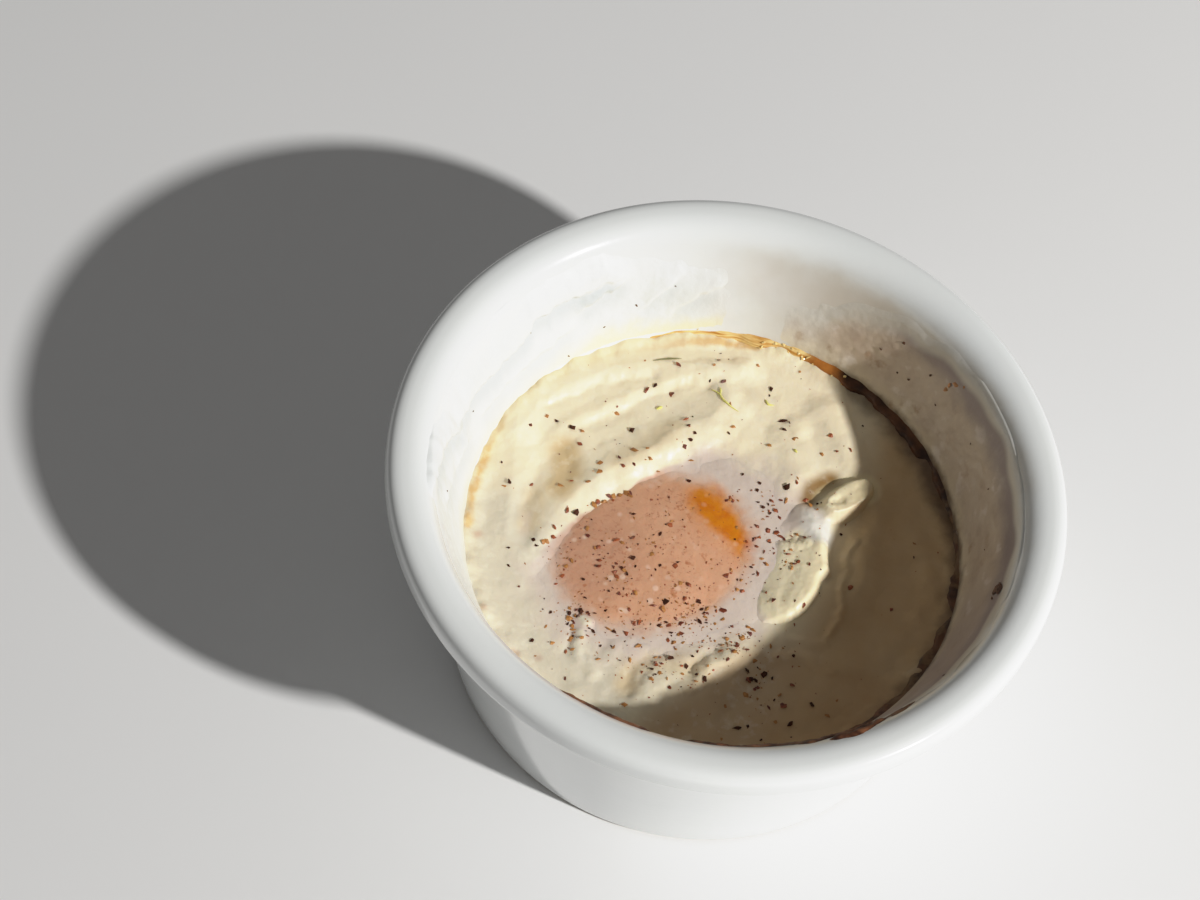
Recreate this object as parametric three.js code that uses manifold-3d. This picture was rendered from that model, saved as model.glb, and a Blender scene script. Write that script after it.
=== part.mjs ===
// A baked egg in a ramekin: a tapered porcelain dish, a bed of set cream swept into ridges, the
// white and yolk of one egg sunk in it, and a curl of cream standing beside the yolk.
// Millimetres, +Z up. The origin is on the table, under the middle of the dish.
import * as THREE from 'three';
import { mergeVertices } from 'three/addons/utils/BufferGeometryUtils.js';
import Module from 'manifold-3d';

const wasm = await Module();
wasm.setup();

// Dish: overall sizes
const RIM_RADIUS = 50;
const DISH_HEIGHT = 45;

// How finely round shapes are stepped
const TURN_STEPS = 72;
const PROFILE_STEPS = 3;
const CREST_STEPS = 24;
const LENS_STEPS = [36, 10];
const CURL_STEPS = [16, 18];
const BED_RINGS = 15;

// Dish: outside
const FOOT_RADIUS = 37;
const FOOT_WIDTH = 3.4;
const FOOT_ROUND = 1;
const FOOT_RECESS = 1.6;
const BODY_BASE_RADIUS = 38.2;
const BODY_TOP_RADIUS = 46.2;
const BODY_TOP_Z = 39;

// Dish: rolled lip, a bead outside and a rounded crest
const BEAD_UNDERSIDE_Z = 40.2;
const BEAD_UNDERSIDE_RADIUS = 48.8;
const LIP_RADIUS = 3.4;
const LIP_SHOULDER_RADIUS = 44.2;
const LIP_INNER_RADIUS = 43.3;
const LIP_INNER_Z = 42;

// Dish: inside
const LEVEL_Z = 25.5;
const LEVEL_RADIUS = 37.5;
const INNER_BASE_RADIUS = 35;
const INNER_BASE_Z = 14;
const FLOOR_Z = 6;
const FLOOR_RADIUS = 27;
const FLOOR_CORNER_RADIUS = 33.5;

// Food: pieces that touch stand a gap apart
const GAP = 0.3;
const BED_EDGE_RISE = 0.5;
const BED_EDGE_WIDTH = 3;
const PLAIN_LEVEL_Z = 25;

// Swept ridges in the cream: the line of each crest, its height over the bed and its half width
const RIDGES = [
  { crest: [[-25, -9], [-21.5, 0], [-15.5, 7.5], [-8, 13.5], [0, 19]], height: 2.6, half: 2.7 },
  { crest: [[-22, 8], [-16, 15], [-8, 20.5], [0, 24.5], [7, 25]], height: 1.4, half: 2.6 },
  { crest: [[-33, 6], [-29, 17], [-20, 25.5], [-10, 30.5], [2, 32]], height: 1.1, half: 3 },
  { crest: [[-31, 8], [-30.5, 0], [-27.5, -7]], height: 1.3, half: 2.6 },
  { crest: [[2, 24], [9, 21.5], [12, 16]], height: 1.6, half: 4 },
  { crest: [[-11, -26], [-5, -23], [3, -21]], height: 1.7, half: 2.2 },
  { crest: [[-17, -20], [-15.5, -24], [-13.5, -28]], height: 1.2, half: 1.9 },
  { crest: [[-8, -30], [-1, -28], [5, -24]], height: 0.8, half: 2.2 },
];

// Egg: a lens with a domed top and a deeper underside, longer on its diagonal than across it
const WHITE = { x: -6, y: -3.5, radius: 18.3, stretch: 2.5, lean: 40, z: 24.9, dome: 0.9, depth: 5.5 };
const YOLK = { x: -7.5, y: -4.5, radius: 14.6, stretch: 1.5, lean: 45, z: 24.7, dome: 2.1, depth: 9 };

// Curl of cream beside the yolk: its spine from the lifted tip to the low end, half width, half height
const CURL_SPINE = [
  [19.4, 16.4, 28.2],
  [15.6, 11.4, 26.9],
  [14.4, 5, 26.3],
  [13.9, -3, 26.2],
  [12.6, -10.4, 25.4],
];
const CURL_HALF_WIDTHS = [2.6, 2.3, 3.6, 4.7, 2.8];
const CURL_HALF_HEIGHTS = [1.3, 2, 2.3, 2.4, 1.6];
const CURL_BLUNTNESS = 0.4;
const SMALLEST = 1e-6;

const porcelain = new THREE.MeshStandardMaterial({ color: 0xeef0ef, roughness: 0.18, metalness: 0 });
const cream = new THREE.MeshStandardMaterial({ color: 0xf0e8c8, roughness: 0.45, metalness: 0 });
const eggWhite = new THREE.MeshStandardMaterial({ color: 0xe2dbdd, roughness: 0.3, metalness: 0 });
const yolk = new THREE.MeshStandardMaterial({ color: 0xdda88c, roughness: 0.35, metalness: 0 });

// A profile in (radius, z) turned about +Z, listed from the axis below to the axis above
function turned(profile) {
  return new THREE.LatheGeometry(profile, TURN_STEPS).rotateX(Math.PI / 2);
}

// Only shared positions are left, and the slivers on the axis are dropped
function welded(geometry) {
  const bare = geometry.clone();
  bare.deleteAttribute('normal');
  bare.deleteAttribute('uv');
  const merged = mergeVertices(bare, 1e-4);
  const corners = merged.index.array;
  const kept = [];
  for (let i = 0; i < corners.length; i += 3) {
    const [a, b, c] = corners.slice(i, i + 3);
    if (a !== b && b !== c && c !== a) kept.push(a, b, c);
  }
  merged.setIndex(kept);
  return merged;
}

function solidOf(geometry) {
  const mesh = welded(geometry);
  const vertProperties = Float32Array.from(mesh.attributes.position.array);
  const triVerts = Uint32Array.from(mesh.index.array);
  return new wasm.Manifold(new wasm.Mesh({ numProp: 3, vertProperties, triVerts }));
}

// The geometry of a solid's largest body: crumbs that a cut leaves over are dropped
function geometryOf(solid) {
  const bodies = solid.decompose();
  bodies.sort((a, b) => b.volume() - a.volume());
  const { vertProperties, triVerts } = bodies[0].getMesh();
  const geometry = new THREE.BufferGeometry();
  geometry.setAttribute('position', new THREE.BufferAttribute(vertProperties, 3));
  geometry.setIndex(new THREE.BufferAttribute(triVerts, 1));
  geometry.computeVertexNormals();
  return geometry;
}

// Radius of the dish's inner wall at a height: the lower wall is steeper than the one above it
function innerRadius(z) {
  const low = THREE.MathUtils.mapLinear(z, INNER_BASE_Z, LEVEL_Z, INNER_BASE_RADIUS, LEVEL_RADIUS);
  const high = THREE.MathUtils.mapLinear(z, LEVEL_Z, LIP_INNER_Z, LEVEL_RADIUS, LIP_INNER_RADIUS);
  return z < LEVEL_Z ? low : high;
}

// The inside of the dish from the middle of its floor up to a height, taken in by a gap
function insideTo(z, gap = 0) {
  const path = new THREE.Path();
  path.moveTo(0, FLOOR_Z + gap);
  path.lineTo(FLOOR_RADIUS, FLOOR_Z + gap);
  path.quadraticCurveTo(FLOOR_CORNER_RADIUS - gap, FLOOR_Z + gap, INNER_BASE_RADIUS - gap, INNER_BASE_Z);
  if (z > LEVEL_Z) path.lineTo(LEVEL_RADIUS - gap, LEVEL_Z);
  path.lineTo(innerRadius(z) - gap, z);
  return path.getPoints(PROFILE_STEPS);
}

// The whole dish: recess and foot ring below, tapered body, bead, crest, and the inside back down
function dishProfile() {
  const footInner = FOOT_RADIUS - FOOT_WIDTH;
  const crestRadius = RIM_RADIUS - LIP_RADIUS;
  const crestZ = DISH_HEIGHT - LIP_RADIUS;
  const path = new THREE.Path();
  path.moveTo(0, FOOT_RECESS);
  path.lineTo(footInner - FOOT_ROUND, FOOT_RECESS);
  path.quadraticCurveTo(footInner, FOOT_RECESS, footInner, 0);
  path.lineTo(FOOT_RADIUS, 0);
  path.quadraticCurveTo(BODY_BASE_RADIUS, 0, BODY_BASE_RADIUS, FOOT_ROUND);
  path.lineTo(BODY_TOP_RADIUS, BODY_TOP_Z);
  path.quadraticCurveTo(BODY_TOP_RADIUS, BEAD_UNDERSIDE_Z, BEAD_UNDERSIDE_RADIUS, BEAD_UNDERSIDE_Z);
  path.quadraticCurveTo(RIM_RADIUS, BEAD_UNDERSIDE_Z, RIM_RADIUS, crestZ);
  path.absarc(crestRadius, crestZ, LIP_RADIUS, 0, Math.PI / 2, false);
  path.quadraticCurveTo(LIP_SHOULDER_RADIUS, DISH_HEIGHT, LIP_INNER_RADIUS, LIP_INNER_Z);
  const inside = insideTo(LIP_INNER_Z).reverse();
  return [...path.getPoints(PROFILE_STEPS), ...inside.slice(1)];
}

// Share of a ridge's height left at this far from its crest line
function swell(distance, half) {
  return Math.exp(-((distance / half) ** 2));
}

const crestLines = RIDGES.map(({ crest }) => {
  const line = new THREE.CatmullRomCurve3(crest.map(([x, y]) => new THREE.Vector3(x, y, 0)));
  return line.getSpacedPoints(CREST_STEPS);
});

// Height of the cream at a point: a plain bed that climbs a little at the wall, and the ridges
function creamHeight(x, y) {
  const point = new THREE.Vector3(x, y, 0);
  const fromWall = LEVEL_RADIUS - point.length();
  const climb = BED_EDGE_RISE * swell(fromWall, BED_EDGE_WIDTH);
  const ridges = RIDGES.map(({ height, half }, i) => {
    const nearest = Math.min(...crestLines[i].map((crest) => crest.distanceTo(point)));
    return height * swell(nearest, half);
  });
  return PLAIN_LEVEL_Z + climb + Math.max(...ridges);
}

// The bed fills the dish to the level: its side follows the wall, and its rings carry the relief
function creamBed() {
  const side = insideTo(PLAIN_LEVEL_Z, GAP);
  const edge = side.pop();
  const profile = [...side];
  for (let ring = BED_RINGS; ring >= 0; ring -= 1) {
    profile.push(new THREE.Vector2((edge.x * ring) / BED_RINGS, edge.y));
  }
  const bed = turned(profile);
  const at = bed.attributes.position;
  for (let i = 0; i < at.count; i += 1) {
    if (i % profile.length >= side.length) at.setZ(i, creamHeight(at.getX(i), at.getY(i)));
  }
  return bed;
}

// A lens of egg: a unit sphere pressed out to a leaning oval, domed above and deep below
function eggLens({ x, y, radius, stretch, lean, z, dome, depth }, grown = 0) {
  const lens = new THREE.SphereGeometry(1, ...LENS_STEPS).rotateX(Math.PI / 2);
  const at = lens.attributes.position;
  for (let i = 0; i < at.count; i += 1) {
    const angle = Math.atan2(at.getY(i), at.getX(i));
    const reach = radius + grown + stretch * Math.cos(2 * (angle - THREE.MathUtils.degToRad(lean)));
    const rise = at.getZ(i) > 0 ? dome + grown : depth + grown;
    at.setXYZ(i, x + reach * at.getX(i), y + reach * at.getY(i), z + rise * at.getZ(i));
  }
  return lens;
}

// Value along an evenly spaced list of stations, for 0 <= t <= 1
function along(stations, t) {
  const place = t * (stations.length - 1);
  const low = Math.min(Math.floor(place), stations.length - 2);
  return THREE.MathUtils.lerp(stations[low], stations[low + 1], place - low);
}

// The curl: a unit sphere drawn out along the spine, its blunt ends being the sphere's poles
function curlOfCream(grown = 0) {
  const spine = new THREE.CatmullRomCurve3(CURL_SPINE.map((point) => new THREE.Vector3(...point)));
  const lump = new THREE.SphereGeometry(1, ...CURL_STEPS);
  const at = lump.attributes.position;
  const up = new THREE.Vector3(0, 0, 1);
  for (let i = 0; i < at.count; i += 1) {
    const t = (1 - at.getY(i)) / 2;
    const ahead = spine.getTangent(t);
    const side = new THREE.Vector3().crossVectors(up, ahead).normalize();
    const over = new THREE.Vector3().crossVectors(ahead, side);
    const fromSpine = Math.max(Math.hypot(at.getX(i), at.getZ(i)), SMALLEST);
    const blunt = fromSpine ** -CURL_BLUNTNESS;
    const place = spine.getPoint(t);
    place.addScaledVector(side, at.getX(i) * blunt * (along(CURL_HALF_WIDTHS, t) + grown));
    place.addScaledVector(over, at.getZ(i) * blunt * (along(CURL_HALF_HEIGHTS, t) + grown));
    place.addScaledVector(ahead, -grown * at.getY(i));
    at.setXYZ(i, ...place.toArray());
  }
  return lump;
}

function named(name, geometry, material) {
  const mesh = new THREE.Mesh(geometry, material);
  mesh.name = name;
  return mesh;
}

const curlRoom = solidOf(curlOfCream(GAP));
const yolkRoom = solidOf(eggLens(YOLK, GAP));
const whiteRoom = solidOf(eggLens(WHITE, GAP));
const curlSolid = solidOf(curlOfCream());
const yolkSolid = solidOf(eggLens(YOLK)).subtract(curlRoom);
const whiteSolid = solidOf(eggLens(WHITE)).subtract(yolkRoom).subtract(curlRoom);
const bedSolid = solidOf(creamBed()).subtract(whiteRoom).subtract(yolkRoom).subtract(curlRoom);

const bakedEgg = new THREE.Group();
bakedEgg.add(named('ramekin', turned(dishProfile()), porcelain));
bakedEgg.add(named('cream', geometryOf(bedSolid), cream));
bakedEgg.add(named('egg_white', geometryOf(whiteSolid), eggWhite));
bakedEgg.add(named('yolk', geometryOf(yolkSolid), yolk));
bakedEgg.add(named('cream_curl', geometryOf(curlSolid), cream));

export default bakedEgg;
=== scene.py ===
"""A baked egg in a white porcelain ramekin: the looks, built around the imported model."""

import math
import random
from functools import partialmethod

import bmesh
import bpy
import numpy as np
from mathutils import Matrix, Vector
from mathutils.bvhtree import BVHTree


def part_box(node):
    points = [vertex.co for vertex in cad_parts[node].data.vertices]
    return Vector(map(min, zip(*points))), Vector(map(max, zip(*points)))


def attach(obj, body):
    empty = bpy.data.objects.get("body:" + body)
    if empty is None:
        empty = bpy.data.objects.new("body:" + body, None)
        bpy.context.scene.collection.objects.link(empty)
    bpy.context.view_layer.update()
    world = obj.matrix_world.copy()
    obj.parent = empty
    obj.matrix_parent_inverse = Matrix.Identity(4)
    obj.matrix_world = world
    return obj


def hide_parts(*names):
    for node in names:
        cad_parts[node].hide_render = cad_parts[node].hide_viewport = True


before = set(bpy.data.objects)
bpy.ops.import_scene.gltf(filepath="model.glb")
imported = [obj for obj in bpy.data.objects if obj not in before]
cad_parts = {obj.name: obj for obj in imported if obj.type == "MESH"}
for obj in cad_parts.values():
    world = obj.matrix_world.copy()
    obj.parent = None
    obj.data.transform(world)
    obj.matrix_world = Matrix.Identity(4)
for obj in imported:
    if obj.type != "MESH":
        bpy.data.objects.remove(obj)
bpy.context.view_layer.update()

MM = 0.001
# every random draw comes from here, so their order is part of the looks
SHOTS = random.Random(7)


# ---------------------------------------------------------------- shader expressions


class Value:
    """A shader socket that can be used in sums."""

    def __init__(self, finish, socket):
        self.finish = finish
        self.socket = socket

    def _sum(self, operation, *others):
        return self.finish.node("Math", {"operation": operation}, {0: self, **dict(enumerate(others, 1))})

    __add__ = __radd__ = partialmethod(_sum, "ADD")
    __sub__ = partialmethod(_sum, "SUBTRACT")
    __mul__ = partialmethod(_sum, "MULTIPLY")
    __truediv__ = partialmethod(_sum, "DIVIDE")
    most = partialmethod(_sum, "MAXIMUM")
    least = partialmethod(_sum, "MINIMUM")
    root = partialmethod(_sum, "SQRT")
    turn_from = partialmethod(_sum, "ARCTAN2")

    def __rsub__(self, other):
        return self.finish.node("Math", {"operation": "SUBTRACT"}, {0: other, 1: self})

    def unsigned(self):
        return (self * self).root()

    def ramp(self, low, high):
        """0 below low, 1 above high, smooth between; high may be the lower one."""
        settings = {"interpolation_type": "SMOOTHSTEP"}
        lowest, highest = sorted((low, high))
        risen = self.finish.node("MapRange", settings, {0: self, 1: lowest, 2: highest})
        return risen if low < high else 1 - risen


class Finish:
    """A material whose nodes are written as sums. Places on it are in millimetres."""

    def __init__(self, name, **uniform):
        self.material = bpy.data.materials.new(name)
        self.material.use_nodes = True
        self.tree = self.material.node_tree
        self.shader = self.tree.nodes["Principled BSDF"]
        for socket, value in uniform.items():
            self.shader.inputs[socket.replace("_", " ")].default_value = value
        metres = self.node("TexCoord", {}, {}, "Object")
        self.place = self.node("VectorMath", {"operation": "SCALE"}, {0: metres, "Scale": 1 / MM})
        parts = self.node("SeparateXYZ", {}, {0: self.place})
        self.x, self.y, self.z = (Value(self, parts.socket.node.outputs[i]) for i in range(3))
        self.out = hypotenuse(self.x, self.y)
        self.turn = self.y.turn_from(self.x) * (180 / math.pi)

    def node(self, kind, settings, values, out=0):
        made = self.tree.nodes.new("ShaderNode" + kind)
        for name, setting in settings.items():
            setattr(made, name, setting)
        for name, value in values.items():
            socket = made.inputs[name]
            if isinstance(value, Value):
                self.tree.links.new(value.socket, socket)
            else:
                socket.default_value = value
        return Value(self, made.outputs[out])

    def cloud(self, size, detail=3.0, place=None, shift=0.0):
        """Soft noise from 0 to 1 whose lumps are about size millimetres across."""
        moved = {0: place or self.place, 1: (shift, shift, shift)}
        place = self.node("VectorMath", {"operation": "ADD"}, moved)
        values = {"Vector": place, "Scale": 1 / size, "Detail": detail, "Roughness": 0.5}
        return self.node("TexNoise", {}, values)

    def waver(self, size, by, detail=4.0, shift=0.0):
        """Noise about 0 that makes a border wander by this much in all."""
        return (self.cloud(size, detail, shift=shift) - 0.5) * by

    def cells(self, size):
        """Distance from the nearest of many scattered points about size millimetres apart."""
        values = {"Vector": self.place, "Scale": 1 / size, "Randomness": 1.0}
        return self.node("TexVoronoi", {"feature": "F1"}, values, "Distance")

    def mix(self, share, first, second):
        """A colour: the first where share is 0, the second where it is 1."""
        values = {"Factor": share, 6: self.color(first), 7: self.color(second)}
        return self.node("Mix", {"data_type": "RGBA"}, values, 2)

    def coated(self, color, *coats):
        """The colour with coats laid over it in turn, each given as its share and its own colour."""
        for share, coat in coats:
            color = self.mix(share, color, coat)
        return color

    def color(self, color):
        return color if isinstance(color, Value) else (*color, 1)

    def from_line(self, line):
        """Distance in millimetres, seen from above, from a line of straight stretches."""
        nearest = None
        for (ax, ay), (bx, by) in zip(line, line[1:]):
            dx, dy = bx - ax, by - ay
            length = dx * dx + dy * dy
            along = ((self.x - ax) * (dx / length) + (self.y - ay) * (dy / length)).most(0).least(1)
            off_x = self.x - (along * dx + ax)
            off_y = self.y - (along * dy + ay)
            off = hypotenuse(off_x, off_y)
            nearest = nearest.least(off) if nearest else off
        return nearest

    def from_point(self, x, y):
        return hypotenuse(self.x - x, self.y - y)

    def attribute(self, name):
        return self.node("Attribute", {"attribute_name": name}, {}, "Fac")

    def use(self, **links):
        for socket, value in links.items():
            target = self.shader.inputs[socket.replace("_", " ")]
            self.tree.links.new(value.socket, target)
        return self

    def bump(self, height, distance):
        """Relief in the finish; height is from 0 to 1 and distance is in millimetres."""
        values = {"Height": height, "Distance": distance * MM, "Strength": 1.0}
        return self.use(Normal=self.node("Bump", {}, values))

    def on(self, piece):
        piece.data.materials.clear()
        piece.data.materials.append(self.material)
        return piece


def hypotenuse(across, along):
    return (across * across + along * along).root()


def srgb(red, green, blue):
    """A colour as a paint chart gives it, 0 to 255, made linear."""
    shares = (red / 255, green / 255, blue / 255)
    return tuple(c / 12.92 if c < 0.0405 else ((c + 0.055) / 1.055) ** 2.4 for c in shares)


# ---------------------------------------------------------------- modelling by hand


ROUND = "SMOOTH"
STRAIGHT = "LINEAR"
CRISP = "SHARP"
FINGERTIP = 0.3


def drop_all():
    if bpy.context.mode != "OBJECT":
        bpy.ops.object.mode_set(mode="OBJECT")
    bpy.ops.object.select_all(action="DESELECT")


def only(piece):
    drop_all()
    piece.select_set(True)
    bpy.context.view_layer.objects.active = piece


def begin(name, add, **settings):
    """A primitive added at its size and place, with the place kept in its mesh."""
    drop_all()
    add(**settings)
    piece = bpy.context.active_object
    piece.name = name
    piece.data.name = name
    bpy.ops.object.transform_apply(location=True, rotation=True, scale=True)
    return piece


def edit(piece):
    only(piece)
    bpy.ops.object.mode_set(mode="EDIT")
    bpy.context.tool_settings.mesh_select_mode = (True, False, False)
    bpy.ops.mesh.select_all(action="DESELECT")


def pick_all():
    bpy.ops.mesh.select_all(action="SELECT")


def face_outward():
    pick_all()
    bpy.ops.mesh.normals_make_consistent(inside=False)


def close_below(depth):
    """Draws the border of a sheet down by a depth in millimetres and caps it."""
    pick_all()
    bpy.ops.mesh.region_to_loop()
    bpy.ops.mesh.extrude_region_move(TRANSFORM_OT_translate={"value": (0, 0, -depth * MM)})
    bpy.ops.mesh.edge_face_add()
    face_outward()


def kept_points(piece):
    """The vertices of the piece in object mode, in millimetres."""
    at = np.empty(len(piece.data.vertices) * 3)
    piece.data.vertices.foreach_get("co", at)
    return at.reshape(-1, 3) / MM


def points(piece):
    """The vertices of the piece in edit mode, in millimetres."""
    return np.array([v.co for v in bmesh.from_edit_mesh(piece.data).verts]) / MM


def pick(piece, wanted):
    """Selects the vertices for which wanted is true, and nothing else."""
    shape = bmesh.from_edit_mesh(piece.data)
    for vertex, take in zip(shape.verts, wanted):
        vertex.select = bool(take)
    shape.select_flush_mode()
    bmesh.update_edit_mesh(piece.data)
    return bool(np.any(wanted))


def smooth_line(line, steps=14):
    """Points along a smooth curve through the line's points."""
    ends = [2 * np.array(line[0]) - line[1], *map(np.array, line), 2 * np.array(line[-1]) - line[-2]]
    made = []
    for a, b, c, d in zip(ends, ends[1:], ends[2:], ends[3:]):
        second, third = 2 * a - 5 * b + 4 * c - d, 3 * b - a - 3 * c + d
        for t in np.linspace(0, 1, steps, endpoint=False):
            made.append(0.5 * (2 * b + (c - a) * t + second * t**2 + third * t**3))
    return np.array([*made, line[-1]])


def off_line(at, line):
    """How far each point is from a line, seen from above."""
    flat = at[:, None, :2] - line[None, :, :2]
    return np.sqrt((flat**2).sum(2)).min(1)


def pull(height, reach, falloff=ROUND):
    """Lifts what is picked by a height in millimetres, and what is within reach of it by less."""
    bpy.ops.transform.translate(
        value=(0, 0, height * MM),
        use_proportional_edit=True,
        proportional_edit_falloff=falloff,
        proportional_size=reach * MM,
    )


def draw(piece, strokes):
    """Pulls the surface up along each line in turn, or down where the height is negative."""
    for line, height, reach, *falloff in strokes:
        if pick(piece, off_line(points(piece), smooth_line(line)) < FINGERTIP):
            pull(height, reach, *falloff)


def within(at, outline):
    """Which points lie inside a smooth outline, seen from above."""
    inside = np.zeros(len(at), bool)
    loop = smooth_line([*outline, outline[0]])
    for (ax, ay), (bx, by) in zip(loop, np.roll(loop, -1, axis=0)):
        crosses = (ay > at[:, 1]) != (by > at[:, 1])
        reach_x = ax + (bx - ax) * (at[:, 1] - ay) / (by - ay + 1e-12)
        inside ^= crosses & (at[:, 0] < reach_x)
    return inside


def press(piece, outline, height, reach, falloff=ROUND):
    """Moves all that lies inside an outline up, or down where the height is negative."""
    if pick(piece, within(points(piece), outline)):
        pull(height, reach, falloff)


def finish_with(piece, kind, **settings):
    """Adds a modifier, sets it and applies it."""
    only(piece)
    modifier = piece.modifiers.new(kind.lower(), kind)
    for name, setting in settings.items():
        setattr(modifier, name, setting)
    bpy.ops.object.modifier_apply(modifier=modifier.name)


def roughen(piece, *lumps, weights=None, direction="NORMAL"):
    """Uneven relief, laid on in turn; each of the lumps is a size and a height in millimetres."""
    settings = dict(texture_coords="LOCAL", mid_level=0.5, direction=direction)
    if weights is not None:
        settings["vertex_group"] = weights
    for size, height in lumps:
        texture = bpy.data.textures.new("relief", "CLOUDS")
        texture.noise_scale = size * MM
        texture.noise_basis = "IMPROVED_PERLIN"
        texture.noise_depth = 2
        finish_with(piece, "DISPLACE", texture=texture, strength=height * MM, **settings)


def weigh(piece, name, share):
    """Keeps a weight from 0 to 1 for each vertex, worked out from its place in millimetres."""
    drop_all()
    group = piece.vertex_groups.new(name=name)
    weights = np.clip(share(kept_points(piece)), 0, 1)
    for i, weight in enumerate(weights):
        if weight > 0:
            group.add([i], weight, "REPLACE")
    return name


def soft(piece, angle=50):
    only(piece)
    bpy.ops.object.shade_smooth_by_angle(angle=math.radians(angle))
    return piece


def place_on(piece, node=None):
    """Sets the piece on the dish's body, in place of a node, which it hides."""
    drop_all()
    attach(piece, "root")
    if node:
        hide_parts(node)
    return piece


def turned(name, rings, steps, hollow=False):
    """A body turned about the dish's axis: one ring drawn out to the next.

    Both ends are closed, or, for a hollow band, the last ring is joined to the first.
    """
    (radius, z), *others = rings
    place = (0, 0, z * MM)
    circle = dict(vertices=steps, radius=radius * MM, location=place)
    piece = begin(name, bpy.ops.mesh.primitive_circle_add, **circle)
    edit(piece)
    pick_all()
    for next_radius, next_z in others:
        rise = {"value": (0, 0, (next_z - z) * MM)}
        bpy.ops.mesh.extrude_region_move(TRANSFORM_OT_translate=rise)
        grow = next_radius / radius
        bpy.ops.transform.resize(value=(grow, grow, 1), center_override=(0, 0, next_z * MM))
        radius, z = next_radius, next_z
    pick_all()
    if hollow:
        bpy.ops.mesh.region_to_loop()
        bpy.ops.mesh.bridge_edge_loops()
    else:
        bpy.ops.mesh.fill_holes(sides=0)
    face_outward()
    drop_all()
    return piece


# ---------------------------------------------------------------- sizes, from the frame

_, DISH_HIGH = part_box("ramekin")
RIM_RADIUS = DISH_HIGH.x / MM
HEIGHT = DISH_HIGH.z / MM
CREAM_LOW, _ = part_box("cream")
FLOOR_Z = CREAM_LOW.z / MM - 0.3
BED_Z = 25.0
LEVEL_Z = BED_Z + 0.5
LEVEL_RADIUS = 0.75 * RIM_RADIUS
LIP_INNER_RADIUS = 0.866 * RIM_RADIUS
LIP_INNER_Z = HEIGHT - 3
LOW_WALL_RADIUS = 0.7 * RIM_RADIUS
LOW_WALL_Z = 14.0
FLOOR_RADIUS = 0.54 * RIM_RADIUS


DISH_STEPS = 192
DISH_RECESS_Z = 1.6
ROUNDING_STEPS = 8
RING_SPACING = 4.0
DISH_CORNERS = [
    # radius, height, rounding
    (1.0, DISH_RECESS_Z, 0),
    (0.652 * RIM_RADIUS, DISH_RECESS_Z, 0.5),
    (0.672 * RIM_RADIUS, 0.0, 0.45),
    (0.764 * RIM_RADIUS, 0.0, 1.0),
    (0.926 * RIM_RADIUS, HEIGHT - 5.0, 1.1),
    (RIM_RADIUS, HEIGHT - 4.8, 1.5),
    (RIM_RADIUS, HEIGHT, 2.1),
    (LIP_INNER_RADIUS + 0.75, HEIGHT, 3.6),
    (LEVEL_RADIUS, LEVEL_Z, 2.0),
    (LOW_WALL_RADIUS, LOW_WALL_Z, 0),
    (0.665 * RIM_RADIUS, FLOOR_Z, 4.0),
    (1.0, FLOOR_Z, 0),
]


def dish():
    """The tapered dish: foot ring, wall, bead, rolled lip and inside, each corner rounded."""
    return soft(turned("ramekin_dish", rounded(DISH_CORNERS), DISH_STEPS), 60)


def wall_radius(z):
    """The inside of the dish at a height, up to the top of the lip."""
    profile = rounded(DISH_CORNERS)
    lip = max(range(len(profile)), key=lambda ring: profile[ring][1])
    inside = [ring for ring in reversed(profile[lip + 1 :]) if ring[0] > FLOOR_RADIUS]
    return np.interp(z, [ring[1] for ring in inside], [ring[0] for ring in inside])


def rounded(corners):
    """The profile with each corner cut back by its rounding and bridged by an arc, and rings between."""
    made = [corners[0][:2]]
    for before, (radius, z, rounding), after in zip(corners, corners[1:], corners[2:]):
        corner = Vector((radius, z))
        start = corner + (Vector(before[:2]) - corner).normalized() * rounding
        stop = corner + (Vector(after[:2]) - corner).normalized() * rounding
        made += between(made[-1], start)
        for step in range(1, ROUNDING_STEPS + 1):
            t = step / ROUNDING_STEPS
            if rounding:
                made.append(tuple(start * (1 - t) ** 2 + corner * (2 * t * (1 - t)) + stop * t**2))
    return [*made, *between(made[-1], corners[-1][:2])]


def between(first, last):
    """Evenly spaced rings from one place on the profile to the next, the last one with them."""
    first, last = Vector(first), Vector(last)
    steps = max(1, round((last - first).length / RING_SPACING))
    return [tuple(first.lerp(last, (i + 1) / steps)) for i in range(steps)]


# where the oven was hottest, on the side where the dish's own shade falls, as the direction from the dish's
# axis in degrees
HOT_TURN = 18


def oven_haze_and_shade(finish):
    """How browned the inner wall is, with painted shade: all at the right, nothing at the left and at the
    lip.
    """
    blotch = finish.cloud(6, detail=4)
    away = finish.turn - (HOT_TURN + 2) + (blotch - 0.5) * 22
    height = finish.z + (blotch - 0.5) * 3 - finish.turn.ramp(70, 30) * 1.6
    return away.unsigned().ramp(94, 46) * height.ramp(43.6, 39.8)


def hazed_and_shaded(finish, share):
    """The glaze's own white, dulled to beige by oven haze and painted shade, by the share given."""
    white = finish.mix(finish.cloud(22, detail=2), srgb(228, 231, 231), srgb(234, 236, 234))
    return finish.mix(share * 0.75, white, srgb(194, 183, 164))


def glaze():
    finish = Finish("porcelain_glaze", Roughness=0.16, Coat_Weight=0.35, Coat_Roughness=0.05, IOR=1.5)
    inner_wall = (finish.out - (finish.z - LEVEL_Z) * 0.3 - LEVEL_RADIUS).ramp(3.4, 1.6)
    # beige haze with painted shade on the right of the inner wall
    white = hazed_and_shaded(finish, oven_haze_and_shade(finish) * inner_wall)
    bare = finish.z.ramp(0.7, 0.15)
    grain = finish.cloud(0.5, detail=4)
    biscuit = finish.mix(grain, srgb(214, 205, 190), srgb(228, 221, 208))
    finish.use(Base_Color=finish.mix(bare, white, biscuit))
    finish.use(Roughness=0.14 + finish.cloud(9) * 0.06 + bare * 0.6)
    return finish.bump(finish.cloud(14, detail=1) * 0.9 + finish.cloud(1.2) * 0.1, 0.12)


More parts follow.
